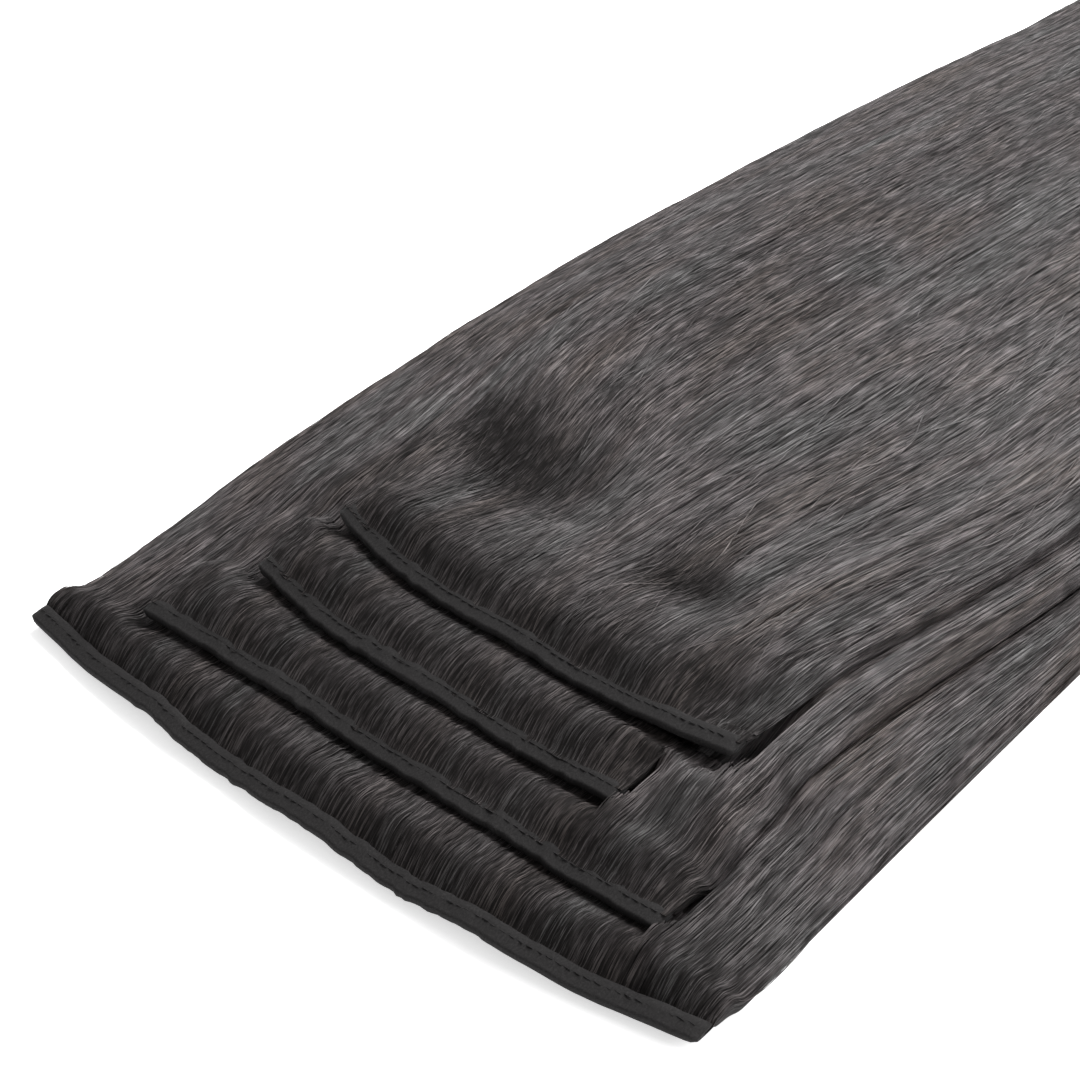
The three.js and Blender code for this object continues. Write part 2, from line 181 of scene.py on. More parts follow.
# Colour ramps
HAIR_STOPS = (
    (0.38, (0.0065, 0.0054, 0.0052)),
    (0.5, (0.0370, 0.0322, 0.0324)),
    (0.62, (0.1240, 0.1115, 0.1125)),
)
HAIR_TINTS = ((0.25, (1.0, 0.86, 0.72)), (0.5, (0.97, 0.94, 0.95)), (0.75, (0.78, 0.95, 0.93)))
CLOTH_STOPS = (
    (0.3, (0.0075, 0.0069, 0.0070)),
    (0.5, (0.0115, 0.0106, 0.0107)),
    (0.7, (0.018, 0.0168, 0.0170)),
)
PAINT_STOPS = ((0.3, (0.012, 0.012, 0.013)), (0.7, (0.026, 0.026, 0.027)))
FLOOR_STOPS = ((0.0, (0.93, 0.93, 0.93)), (1.0, (0.95, 0.95, 0.95)))
WHITE = (1.0, 1.0, 1.0, 1.0)

HAIR_ROUGHNESS = (0.34, 0.56)
DULL_ROUGHNESS = 0.95
HAIR_SPECULAR = 0.17

# Floor, world and soft lights: name, place, point aimed at, size, power
FLOOR_REACH = 40.0
FLOOR_GLOW = 0.55
WORLD_STRENGTH = 0.5
LIGHTS = (
    ("above", (0.1, 0.85, 1.25), (0.0, 0.0, 0.0), 1.2, 50.0),
    ("behind", (-0.2, 1.7, 0.8), (0.0, -0.1, 0.0), 1.2, 3.0),
    ("beside", (1.1, 0.3, 0.9), (0.0, -0.1, 0.0), 0.9, 15.0),
)

# Camera: angles in degrees, distance from the point aimed at, and that point on the surface,
# measured from the middle of the front of the widest band
CAMERA_AZIMUTH = 41.6
CAMERA_ELEVATION = 37.3
CAMERA_DISTANCE = 588.03 * MM
CAMERA_AIM = (-32.87 * MM, 115.54 * MM)
SENSOR = 36.0
FOCAL_SHARE = 2300 / 1080


def smooth(value):
    """Eased step from 0 to 1."""
    value = np.clip(value, 0.0, 1.0)
    return value * value * (3.0 - 2.0 * value)


def blurred(grid, along, across):
    """Gaussian blur of a grid, widths in cells for its rows and columns."""
    for axis, width in ((0, along), (1, across)):
        if width <= 0:
            continue
        reach = int(3 * width) + 1
        offsets = np.arange(-reach, reach + 1)
        kernel = np.exp(-0.5 * (offsets / width) ** 2)
        kernel /= kernel.sum()
        edges = [(reach, reach) if a == axis else (0, 0) for a in (0, 1)]
        padded = np.pad(grid, edges, mode="edge")
        cells = np.arange(grid.shape[axis]) + reach
        parts = (w * np.take(padded, cells + o, axis=axis) for w, o in zip(kernel, offsets))
        grid = sum(parts)
    return grid


def sample(grid, column, row):
    """Bilinear value of a grid at fractional columns and rows."""
    column = np.clip(column, 0, grid.shape[1] - 1.001)
    row = np.clip(row, 0, grid.shape[0] - 1.001)
    i, j = column.astype(int), row.astype(int)
    u, v = column - i, row - j
    near = grid[j, i] * (1 - u) + grid[j, i + 1] * u
    far = grid[j + 1, i] * (1 - u) + grid[j + 1, i + 1] * u
    return near * (1 - v) + far * v


def noise_field(seed, step_x, step_y):
    """Smooth random relief over the plan, about -1 to 1, as a function of x and y."""
    rng = np.random.default_rng(seed)
    wide, long = int(0.32 / step_x) + 6, int(0.68 / step_y) + 6
    grid = blurred(rng.normal(size=(long, wide)), 0.6, 0.6)
    grid /= 2.0 * grid.std()

    def value(x, y):
        u, v = (x + 0.16) / step_x, (y + 0.34) / step_y
        u = np.floor(u) + smooth(u - np.floor(u))
        v = np.floor(v) + smooth(v - np.floor(v))
        return sample(grid, u, v)

    return value


class Band:
    """Front edge and lower face of a band along X, read from its solid."""

    def __init__(self, number):
        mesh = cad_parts[f"band_{number}"].data
        corners = np.array([tuple(v.co) for v in mesh.vertices])
        keys = corners[:, 0].round(5)
        self.x = np.unique(keys)
        rows = [corners[keys == x] for x in self.x]
        self.fronts = np.array([row[:, 1].min() for row in rows])
        self.seats = np.array([row[:, 2].min() for row in rows])
        self.left, self.right = self.x[0], self.x[-1]
        self.setback = self.fronts.min()

    def front(self, x):
        return np.interp(x, self.x, self.fronts)

    def seat(self, x):
        return np.interp(x, self.x, self.seats)

    def covers(self, x):
        return (x > self.left) & (x < self.right)


class Surface:
    """Upper or lower surface of a weft's hair as a smooth height over the plan."""

    def __init__(self, number, upper=True):
        name = f"hair_{number}"
        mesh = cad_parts[name].data
        tree = BVHTree.FromPolygons([v.co for v in mesh.vertices], [p.vertices for p in mesh.polygons])
        low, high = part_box(name)
        self.x = np.arange(low.x + SURFACE_STEP_X / 2, high.x, SURFACE_STEP_X)
        self.y = np.arange(low.y + SURFACE_STEP_Y / 2, high.y, SURFACE_STEP_Y)
        start = 1.0 if upper else -1.0
        way = Vector((0, 0, -start))
        heights = np.full((len(self.y), len(self.x)), np.nan)
        for j, y in enumerate(self.y):
            for i, x in enumerate(self.x):
                hit = tree.ray_cast(Vector((x, y, start)), way)[0]
                if hit is not None:
                    heights[j, i] = hit.z
        self.tips = self.tip_line(heights)
        filled = self.fill(heights)
        near = blurred(filled, 1.6, 1.3)
        far = blurred(filled, 5.0, 2.2)
        behind = smooth((self.y - bands[3].setback - HUMP_LENGTH) / LOCKS_EASE)[:, None]
        self.heights = near * (1 - behind) + far * behind

    def tip_line(self, heights):
        """Last y of the solid at each x."""
        held = ~np.isnan(heights)
        last = len(self.y) - 1 - np.argmax(held[::-1], axis=0)
        last[~held.any(axis=0)] = len(self.y) - 1
        return self.y[last]

    def fill(self, heights):
        """Heights carried on past the outline."""
        held = ~np.isnan(heights)
        rows = np.flatnonzero(held.sum(axis=1) > 1)
        full = {j: np.interp(self.x, self.x[held[j]], heights[j, held[j]]) for j in rows}
        nearest = rows[np.abs(rows[None, :] - np.arange(len(self.y))[:, None]).argmin(axis=1)]
        return np.array([full[j] for j in nearest])

    def at(self, x, y):
        column = (x - self.x[0]) / SURFACE_STEP_X
        row = (y - self.y[0]) / SURFACE_STEP_Y
        return sample(self.heights, column, row)


bands = [Band(number) for number in NUMBERS]
tops = [Surface(number) for number in NUMBERS]
unders = [Surface(number, upper=False) for number in NUMBERS]

lock_fine = noise_field(11, 0.9 * MM, 16 * MM)
lock_mid = noise_field(12, 3.0 * MM, 50 * MM)
lock_wide = noise_field(13, 9 * MM, 100 * MM)
hump_shift = noise_field(14, 1.3 * MM, 6 * MM)
hump_lift = noise_field(15, 7 * MM, 16 * MM)
drift_wide = noise_field(16, 16 * MM, 90 * MM)
drift_fine = noise_field(17, 4 * MM, 45 * MM)


def fanned(root_x, y):
    """Where hair that starts at root_x has come to at y, as the solids fan out and swell."""
    half = (bands[0].right - bands[0].left) / 2
    middle = (bands[0].right + bands[0].left) / 2
    side = (root_x - middle) / half
    far = y - bands[3].setback - BAND_DEPTH - CLIP_WIDTH
    fan = FAN * (1 - np.cos(np.pi * np.clip(far / FAN_LENGTH, 0, 1))) / 2
    share = ((y - bands[0].setback) / HAIR_LENGTH - SWELL_START) / (SWELL_END - SWELL_START)
    banded = (bands[1].right - bands[1].left) / (bands[0].right - bands[0].left)
    outside = np.clip((np.abs(side) - banded) / (1 - banded), 0, 1)
    behind = np.clip((far - CLIP_WIDTH) / FAN_LENGTH, 0, 1)
    swell = np.where(side < 0, SWELL_LEFT, SWELL_RIGHT) * np.sin(np.pi * np.clip(share, 0, 1))
    swell = swell * np.sign(side) * (outside * (1 - behind) + side**2 * behind)
    return middle + half * side * (1 + fan * (1 - np.abs(side))) + swell


def cover(number, x):
    """Front edge and lower face of the first band that lies on a weft at x. The front is infinite
    where its hair is free."""
    front, seat = np.full(np.shape(x), np.inf), np.zeros(np.shape(x))
    for band in reversed(bands[number:]):
        covered = band.covers(x)
        front = np.where(covered, band.front(x), front)
        seat = np.where(covered, band.seat(x), seat)
    return front, seat


def cover_share(number, x):
    """How fully hair is raised towards the band that lies on it: less near its left end."""
    share = np.ones(np.shape(x))
    for band in reversed(bands[number:]):
        share = np.where(band.covers(x), smooth((x - band.left) / POCKET_WIDTH), share)
    return share


def hollow_depth(x, y):
    """Depth of the hollows in the top hair."""
    depth = 0.0
    for middle_x, middle_y, long, short, turn, most in HOLLOWS:
        cosine, sine = math.cos(math.radians(turn)), math.sin(math.radians(turn))
        along = ((x - middle_x) * cosine + (y - middle_y) * sine) / long
        across = ((y - middle_y) * cosine - (x - middle_x) * sine) / short
        depth = depth + most * np.exp(-(along**2) - across**2)
    return depth


def fold_depth(number, x, y):
    """Depth of the long folds in the hair of a weft."""
    depth = 0.0
    for weft, (start_x, start_y), (end_x, end_y), most in FOLDS:
        if weft != number:
            continue
        share = (y - start_y) / (end_y - start_y)
        off = (x - start_x - (end_x - start_x) * share) / FOLD_WIDTH
        window = smooth((share + 0.25) / 0.35) * (1 - smooth((share - 0.9) / 0.5))
        depth = depth + most * np.exp(-(off**2)) * window
    return depth


def pushed_up(number, root_x, y, height):
    """Height of hair beside the ends of the bands that lie on its weft."""
    for upper in range(number + 1, 5):
        band = bands[upper - 1]
        ends = ((band.left, -1.0, PUSH_START_LEFT), (band.right, 1.0, PUSH_START_RIGHT))
        for end, side, start in ends:
            outside = side * (root_x - end)
            behind = y - band.front(end)
            gap = CREVICE * smooth(behind / (6 * MM))
            near = smooth((outside + 0.6 * MM - gap) / (0.9 * MM))
            near = near * (1 - smooth(outside / PUSH_WIDTH))
            ease = 8 * MM if side > 0 else 16 * MM
            along = smooth((behind - start) / ease) * (1 - smooth((behind - 18 * MM) / (50 * MM)))
            crest = band.seat(end) + BAND_HEIGHT * PUSH_SHARES[upper] * (1.0 if side > 0 else 0.7)
            height = height + np.maximum(crest - height, 0) * near * along
    return height


def pocket_depth(number, root_x, y):
    """Depth of the pocket in front of the left end of the band on a weft."""
    if number == 4:
        return 0.0
    band = bands[number]
    across = (root_x - band.left - 0.6 * POCKET_REACH) / POCKET_REACH
    along = (y - band.front(band.left) + 0.5 * POCKET_REACH) / POCKET_REACH
    return POCKET_DEPTH * np.exp(-(across**2) - along**2)


def under_band(number, root_x, y, height):
    """Height of hair raised to the band that lies on it and kept below it, and how near that is."""
    front, seat = cover(number, root_x)
    wedge = WEDGE * smooth(1 - (bands[3].right - root_x) / WEDGE_WIDTH) if number > 1 else 0.0
    near = smooth((y - front + 9 * MM) / (7 * MM))
    near = near * (1 - smooth((y - front - 2.2 * MM) / (1.6 * MM))) * cover_share(number, root_x)
    dip = (HOLLOW + CREST) * smooth((y - front + 2.4 * MM) / (2.2 * MM))
    height = height + (np.maximum(height, seat + CREST - dip - wedge) - height) * near
    height = pushed_up(number, root_x, y, height)
    under = np.isfinite(front) & (y > front - 0.3 * MM)
    return np.where(under, np.minimum(height, seat - 0.4 * MM), height), near


def hair_height(number, root_x, x, y):
    """Height of a weft's upper surface, with the relief of its locks."""
    band = bands[number - 1]
    behind = y - (band.front(root_x) + BAND_DEPTH)
    hump = smooth(behind / HUMP_RISE) * (1 - smooth((behind - HUMP_LENGTH) / HUMP_LENGTH))
    grown = smooth((behind - LOCKS_START) / LOCKS_EASE)
    seam = SEAMS[number]
    shift = seam * (1 - smooth(behind / (8 * MM))) + HUMP_SHIFT * hump_shift(x, y) * hump
    height = tops[number - 1].at(x, y + shift)
    height, near = under_band(number, root_x, y, height)
    height = height + HUMP_LIFT * hump_lift(x, y) * hump * (1 - near)
    height = height + HUMP_RIPPLE * hump_shift(x + 3 * MM, y) * hump
    relief = FINE_LOCKS * lock_fine(root_x, y) + MIDDLE_LOCKS * lock_mid(root_x, y)
    height = height + (relief + WIDE_LOCKS * lock_wide(root_x, y)) * grown
    height = height - fold_depth(number, x, y) - pocket_depth(number, root_x, y)
    if number == 4:
        floor = np.minimum(height, unders[3].at(x, y) + HOLLOW_FLOOR)
        height = np.maximum(height - hollow_depth(x, y), floor)
    slot = band.seat(root_x) + root_height(number)
    out = smooth((behind + seam + 0.2 * MM) / (1.6 * MM))
    least = slot * (1 - smooth((behind - 2 * MM) / (5 * MM)))
    return slot * (1 - out) + np.maximum(height, least) * out


def root_height(number):
    """Height above a band's lower face at which its hair starts."""
    return BAND_HEIGHT - 0.2 * MM if SEAMS[number] > 1 * MM else SLOT_HEIGHT


def root_start(number, root_x):
    """Where along Y the hair of a band starts."""
    band = bands[number - 1]
    inside = 0.5 * MM if SEAMS[number] > 1 * MM else 0.6 * SLOT_DEPTH
    return band.front(root_x) + BAND_DEPTH - SEAMS[number] - inside


def hair_path(number, root_x, shares, end_y, depth, sink, wander, seed):
    """Points of strands, as arrays of strand by station."""
    rng = np.random.default_rng(seed)
    count = len(root_x)
    start = root_start(number, root_x)
    y = start[:, None] + (end_y - start)[:, None] * shares[None, :]
    roots = np.repeat(root_x[:, None], len(shares), axis=1)
    x = fanned(roots, y)
    gone = y - start[:, None]
    loose = smooth((gone - 6 * MM) / (40 * MM))
    x = x + DRIFT_WIDE * drift_wide(roots, y) * loose + DRIFT_FINE * drift_fine(roots, y) * loose
    turns = rng.uniform(0.7, 2.4, (count, 1)) * gone / (150 * MM) + rng.uniform(0, 1, (count, 1))
    own = wander * rng.uniform(0.3, 1.0, (count, 1)) * np.sin(2 * np.pi * turns)
    x = x + own * smooth(gone / (25 * MM))
    short = rng.normal(0, 0.035, (count, 1)) * gone * (1 - smooth((gone - 14 * MM) / (30 * MM)))
    x = x + short
    height = hair_height(number, roots, x, y)
    waves = rng.uniform(10, 34, (count, 1)) * MM
    wave = np.sin(2 * np.pi * (gone / waves + rng.uniform(0, 1, (count, 1))))
    sunk = depth[:, None] + WAVE_HEIGHT * wave
    thick = np.maximum(height - unders[number - 1].at(x, y) - 0.4 * MM, 0)
    lowered = sink[:, None] * thick * smooth((gone - 4 * MM) / (14 * MM))
    z = height - sunk * smooth((gone - 2.2 * MM) / (3 * MM)) - lowered
    return np.stack([x, y, np.maximum(z, 0.25 * MM)], axis=-1), roots, gone


def ribbons(points, roots, gone, widths, roll):
    """Flat ribbons along the points: corners, quads and texture coordinates."""
    count, stations = points.shape[:2]
    along = np.gradient(points, axis=1)
    along /= np.linalg.norm(along, axis=-1, keepdims=True)
    side = np.zeros_like(along)
    side[..., 0] = 1.0
    side -= along * (side * along).sum(axis=-1, keepdims=True)
    side /= np.linalg.norm(side, axis=-1, keepdims=True)
    up = np.cross(side, along)
    reach = np.cos(roll)[..., None] * side + np.sin(roll)[..., None] * up
    half = 0.5 * widths[..., None] * reach
    corners = np.stack([points - half, points + half], axis=2).reshape(-1, 3)
    corners[:, 2] = np.maximum(corners[:, 2], 0.05 * MM)
    first = 2 * np.arange(count * stations).reshape(count, stations)[:, :-1].ravel()
    quads = np.stack([first, first + 1, first + 3, first + 2], axis=1)
    across = roots / SPAN + 0.5
    spread = 0.5 * widths / SPAN
    u = np.stack([across - spread, across + spread], axis=2).reshape(-1)
    v = np.repeat(gone[:, :, None] / LENGTH, 2, axis=2).reshape(-1)
    return corners, quads, np.stack([u, v], axis=1)


def joined(parts):
    """Several sets of corners, quads and texture coordinates as one."""
    corners, quads, maps, held = [], [], [], 0
    for part in parts:
        corners.append(part[0])
        quads.append(part[1] + held)
        maps.append(part[2])
        held += len(part[0])
    return np.concatenate(corners), np.concatenate(quads), np.concatenate(maps)


def make_piece(name, parts, material, node=None):
    """One smooth mesh that rides on the root body."""
    corners, quads, places = parts
    mesh = bpy.data.meshes.new(name)
    mesh.vertices.add(len(corners))
    mesh.vertices.foreach_set("co", corners.astype(np.float32).ravel())
    mesh.loops.add(quads.size)
    mesh.loops.foreach_set("vertex_index", quads.astype(np.int32).ravel())
    mesh.polygons.add(len(quads))
    mesh.polygons.foreach_set("loop_start", np.arange(0, quads.size, 4, dtype=np.int32))
    mesh.polygons.foreach_set("use_smooth", np.ones(len(quads), dtype=bool))
    layer = mesh.uv_layers.new(name=HAIR_MAP)
    layer.data.foreach_set("uv", places[quads.ravel()].astype(np.float32).ravel())
    mesh.update(calc_edges=True)
    mesh.validate()
    mesh.materials.append(material)
    piece = bpy.data.objects.new(name, mesh)
    bpy.context.scene.collection.objects.link(piece)
    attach(piece, "root")
    if node:
        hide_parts(node)
    return piece


def stations(first, count, end_share, power):
    """Shares along a strand: even steps over the first share, then growing ones."""
    near = np.linspace(0, end_share, first, endpoint=False)
    far = end_share + (1 - end_share) * np.linspace(0, 1, count) ** power
    return np.concatenate([near, far])


LONG_STATIONS = stations(20, 58, 0.036, 1.25)
SHORT_STATIONS = np.linspace(0, 1, 22)


def free_ends(number, roots, rng):
    """Where strands that lie free end: about the tips, some of them cut short."""
    top = tops[number - 1]
    end = np.interp(fanned(roots, 1.0), top.x, top.tips)
    end = end - rng.exponential(TIP_SCATTER, len(roots)) + 3 * MM
    cut = rng.uniform(0, 1, len(roots)) < CUT_SHARE
    end = end - cut * rng.uniform(0, CUT_LENGTH, len(roots)) * MM
    return np.minimum(end, bands[number - 1].front(roots) + HAIR_LENGTH + 8 * MM)


def strands(number, root_x, seed, wander=0.6 * MM, depths=(0.0, 0.7), sinks=None):
    """Ribbons of hair from the band of a weft, to the next band or to the tips."""
    rng = np.random.default_rng(seed)
    covered = np.isfinite(cover(number, root_x)[0])
    parts = []
    for is_short in (True, False):
        held = covered == is_short
        roots = root_x[held]
        count = len(roots)
        if not count:
            continue
        sink = np.zeros(count) if sinks is None else sinks[held]
        shares = SHORT_STATIONS if is_short else LONG_STATIONS
        end = cover(number, roots)[0] + TUCK if is_short else free_ends(number, roots, rng)
        depth = rng.uniform(*depths, count) * MM
        points, grid, gone = hair_path(number, roots, shares, end, depth, sink, wander, seed + 1)
        roll = rng.normal(0, math.radians(ROLL_SPREAD), (count, 1))
        turn = rng.uniform(0, 1, (count, 1))
        wave = rng.uniform(20, 50, (count, 1)) * MM
        roll = roll + math.radians(ROLL_WAVE) * np.sin(2 * np.pi * (gone / wave + turn))
        width = STRAND_WIDTH * rng.uniform(0.6, 1.3, (count, 1))
        if not is_short:
            taper = smooth((shares - TAPER_START) / (1 - TAPER_START))
            width = width * (1 - TAPER * taper)[None, :]
        parts.append(ribbons(points, grid, gone, width * np.ones_like(gone), roll))
    return joined(parts)


def side_strands(number, count, seed):
    """Ribbons of hair down both side edges of a weft."""
    rng = np.random.default_rng(seed)
    band = bands[number - 1]
    inside = np.abs(rng.normal(0, 0.5 * MM, count))
    roots = np.where(np.arange(count) % 2 == 0, band.left + inside, band.right - inside)
    return strands(number, roots, seed + 1, 0.35 * MM, (0.0, 0.2), rng.uniform(0, 1, count))


def spread_roots(left, right, count, rng):
    """Roots in even steps with a random share of a step added."""
    return left + (right - left) * (np.arange(count) + rng.uniform(0, 1, count)) / count


def weft_body(number):
    """Closed smooth body of a weft's hair, just under its strands."""
    band = bands[number - 1]
    wide = int((band.right - band.left) / BODY_STEP)
    shares = stations(16, 74, 0.036, 1.2)
    root_x = np.linspace(band.left, band.right, wide)
    ends = np.interp(fanned(root_x, 1.0), tops[number - 1].x, tops[number - 1].tips) - BODY_END
    start = root_start(number, root_x)
    y = start[:, None] + (ends - start)[:, None] * shares[None, :]
    roots = np.repeat(root_x[:, None], len(shares), axis=1)
    x = fanned(roots, y)
    gone = y - start[:, None]
    sunk = BODY_SUNK * smooth((gone - 2.2 * MM) / (3 * MM)) + 0.1 * MM
    under = unders[number - 1].at(x, y)
    slot = band.seat(roots) + root_height(number)
    out = smooth((gone - 1.6 * MM) / (1.8 * MM))
    low = (slot - 0.25 * MM) * (1 - out) + (under + 0.05 * MM) * out
    high = np.maximum(hair_height(number, roots, x, y) - sunk, low + 0.15 * MM)
    top = np.stack([x, y, high], axis=-1)
    bottom = np.stack([x, y, low], axis=-1)
    corners = np.concatenate([top.reshape(-1, 3), bottom.reshape(-1, 3)])
    index = np.arange(wide * len(shares)).reshape(wide, len(shares))
    quads = [grid_quads(index), grid_quads(index + index.size)[:, ::-1]]
    rim = np.concatenate([index[:-1, 0], index[-1, :-1], index[:0:-1, -1], index[0, :0:-1]])
    following = np.roll(rim, -1)
    quads.append(np.stack([rim, rim + index.size, following + index.size, following], axis=1))
    place = np.stack([roots / SPAN + 0.5, gone / LENGTH], axis=-1).reshape(-1, 2)
    beneath = np.stack([roots / SPAN + 0.5 + (high - low) / SPAN, gone / LENGTH], axis=-1)
    return corners, np.concatenate(quads), np.concatenate([place, beneath.reshape(-1, 2)])


def grid_quads(index):
    """Quads over a grid of corners, facing up where x grows by row and y by column."""
    a, b = index[:-1, :-1], index[1:, :-1]
    c, d = index[1:, 1:], index[:-1, 1:]
    return np.stack([a.ravel(), b.ravel(), c.ravel(), d.ravel()], axis=1)


def nodes_of(name):
    """New node material, its node tree, shader and a maker of nodes with inputs."""
    material = bpy.data.materials.new(name)
    material.use_nodes = True
    tree = material.node_tree
    shader = tree.nodes["Principled BSDF"]

    def add(kind, values=(), **options):
        node = tree.nodes.new(kind)
        for key, value in options.items():
            setattr(node, key, value)
        for key, value in dict(values).items():
            if isinstance(value, bpy.types.NodeSocket):
                tree.links.new(value, node.inputs[key])
            else:
                node.inputs[key].default_value = value
        return node

    return material, tree, shader, add


def ramp(add, factor, stops):
    """Colour ramp from (place, colour) stops."""
    node = add("ShaderNodeValToRGB", {"Fac": factor})
    elements = node.color_ramp.elements
    while len(elements) < len(stops):
        elements.new(0.5)
    for element, (place, colour) in zip(elements, stops):
        element.position = place
        element.color = (*colour, 1.0)
    return node.outputs["Color"]


def shadowed(add, place, fine):
    """Painted shade: how far the hair's colour is darkened and its gloss dulled, most near its roots
    and in the hollows of the top weft.
    """
    along = add("ShaderNodeSeparateXYZ", {"Vector": place}).outputs["Y"]
    shade = add(
        "ShaderNodeMapRange",
        {
            "Value": along,
            "From Min": 0.0,
            "From Max": ROOT_SHADE_LENGTH / LENGTH,
            "To Min": ROOT_SHADE,
            "To Max": 0.0,
        },
        interpolation_type="SMOOTHSTEP",
    ).outputs["Result"]
    # Painted shade over each hollow of the top weft, placed by its texture coordinates
    for middle_x, middle_y, long, short, _, _ in HOLLOWS:
        across = middle_x / SPAN + 0.5
        along = (middle_y - root_start(4, middle_x)) / LENGTH
        spot = add(
            "ShaderNodeMapping",
            {
                "Vector": place,
                "Location": (across, along, 0.0),
                "Scale": (long / SPAN, short / LENGTH, 1.0),
            },
            vector_type="TEXTURE",
        ).outputs["Vector"]
        reach = add("ShaderNodeVectorMath", {0: spot}, operation="LENGTH").outputs["Value"]
        near = add(
            "ShaderNodeMapRange",
            {"Value": reach, "From Min": 0.1, "From Max": 1.5, "To Min": HOLLOW_SHADE, "To Max": 0.0},
            interpolation_type="SMOOTHSTEP",
        ).outputs["Result"]
        shade = add("ShaderNodeMath", {0: shade, 1: near}, operation="MAXIMUM").outputs[0]
    streaked = add(
        "ShaderNodeMapRange",
        {
            "Value": fine,
            "From Min": STREAK_RANGE[0],
            "From Max": STREAK_RANGE[1],
            "To Min": STREAK_SHADES[0],
            "To Max": STREAK_SHADES[1],
        },
    ).outputs["Result"]
    dark = add("ShaderNodeMath", {0: shade, 1: streaked}, operation="MULTIPLY", use_clamp=True)
    return dark.outputs[0]


def hair_material(name, ridged):
    """Dark hair: streaks that follow the strands, a soft gloss and painted shade near the roots and in
    the hollows, with ridges on the bodies.
    """
    material, tree, shader, add = nodes_of(name)
    place = add("ShaderNodeUVMap", uv_map=HAIR_MAP).outputs["UV"]

    def streaks(across, along, detail):
        scaled = add("ShaderNodeMapping", {"Vector": place, "Scale": (across, along, 1.0)})
        noise = add(
            "ShaderNodeTexNoise",
            {"Vector": scaled.outputs["Vector"], "Scale": 1.0, "Detail": detail, "Roughness": 0.6},
            noise_dimensions="2D",
        )
        return noise.outputs["Fac"]

    fine = streaks(*FINE_STREAKS)
    broad = streaks(*BROAD_STREAKS)
    tint = streaks(*TINT_STREAKS)
    level = add("ShaderNodeMix", {"Factor": BROAD_SHARE, "A": fine, "B": broad}).outputs["Result"]
    mixed = add("ShaderNodeMix", {"Factor": TINT_SHARE}, data_type="RGBA", blend_type="MULTIPLY")
    tree.links.new(ramp(add, level, HAIR_STOPS), mixed.inputs["A"])
    tree.links.new(ramp(add, tint, HAIR_TINTS), mixed.inputs["B"])
    # Painted shade near the roots and in the hollows: colour mixed towards the darkest hair colour,
    # roughness towards dull
    shade = shadowed(add, place, fine)
    dark = add("ShaderNodeMix", {"Factor": shade}, data_type="RGBA", blend_type="MIX")
    tree.links.new(mixed.outputs["Result"], dark.inputs["A"])
    dark.inputs["B"].default_value = (*HAIR_STOPS[0][1], 1.0)
    tree.links.new(dark.outputs["Result"], shader.inputs["Base Color"])
    smoothest, roughest = HAIR_ROUGHNESS
    rough = add("ShaderNodeMapRange", {"Value": fine, "To Min": smoothest, "To Max": roughest})
    roughness = {"Factor": shade, "A": rough.outputs["Result"], "B": DULL_ROUGHNESS}
    dull = add("ShaderNodeMix", roughness)
    tree.links.new(dull.outputs["Result"], shader.inputs["Roughness"])
    shader.inputs["Specular IOR Level"].default_value = HAIR_SPECULAR
    if ridged:
        ridges = streaks(*RIDGE_STREAKS)
        bump = add("ShaderNodeBump", {"Height": ridges, "Distance": 0.0008, "Strength": 0.9})
        tree.links.new(bump.outputs["Normal"], shader.inputs["Normal"])
    return material


def cloth_material():
    """Matt charcoal cloth with a fine weave."""
    material, tree, shader, add = nodes_of("band_cloth")
    place = add("ShaderNodeUVMap", uv_map=HAIR_MAP).outputs["UV"]
    scaled = add("ShaderNodeMapping", {"Vector": place, "Scale": (480.0, 26.0, 1.0)})
    weave = add(
        "ShaderNodeTexNoise",
        {"Vector": scaled.outputs["Vector"], "Scale": 1.0, "Detail": 3.0, "Roughness": 0.7},
        noise_dimensions="2D",
    )
    colour = ramp(add, weave.outputs["Fac"], CLOTH_STOPS)
    tree.links.new(colour, shader.inputs["Base Color"])
    bump = add("ShaderNodeBump", {"Height": weave.outputs["Fac"], "Distance": 0.0002, "Strength": 0.6})
    tree.links.new(bump.outputs["Normal"], shader.inputs["Normal"])
    shader.inputs["Roughness"].default_value = 0.85
    shader.inputs["Specular IOR Level"].default_value = 0.2
    return material


def clip_material():
    """Semi-matt dark paint on the snap clips."""
    material, tree, shader, add = nodes_of("clip_metal")
    place = add("ShaderNodeTexCoord").outputs["Object"]
    specks = add("ShaderNodeTexNoise", {"Vector": place, "Scale": 900.0, "Detail": 2.0})
    tree.links.new(ramp(add, specks.outputs["Fac"], PAINT_STOPS), shader.inputs["Base Color"])
    shader.inputs["Metallic"].default_value = 0.3
    shader.inputs["Roughness"].default_value = 0.42
    return material


def rounded(points, rounds):
    """Closed outline with its corners cut off again and again."""
    points = np.array(points, float)
    for _ in range(rounds):
        following = np.roll(points, -1, axis=0)
        cut = [0.75 * points + 0.25 * following, 0.25 * points + 0.75 * following]
        points = np.stack(cut, axis=1).reshape(-1, 2)
    return points


def band_section():
    """Outline across a folded band, from its front edge and lower face, open towards the hair."""
    slot_front = BAND_DEPTH - SLOT_DEPTH
    leaf = 1.0 * MM
    return rounded(
        [
            (BAND_DEPTH, 0.0),
            (BAND_DEPTH, leaf),
            (slot_front, leaf),
            (slot_front, BAND_HEIGHT - leaf),
            (BAND_DEPTH, BAND_HEIGHT - leaf),
            (BAND_DEPTH, BAND_HEIGHT),
            (slot_front + 1.4 * MM, BAND_HEIGHT + 0.1 * MM),
            (slot_front + 0.7 * MM, BAND_HEIGHT + 0.02 * MM),
            (1.1 * MM, FOLD_HEIGHT + 0.25 * MM),
            (0.0, FOLD_HEIGHT),
            (-0.1 * MM, 0.5 * FOLD_HEIGHT),
            (0.2 * MM, 0.0),
        ],
        2,
    )


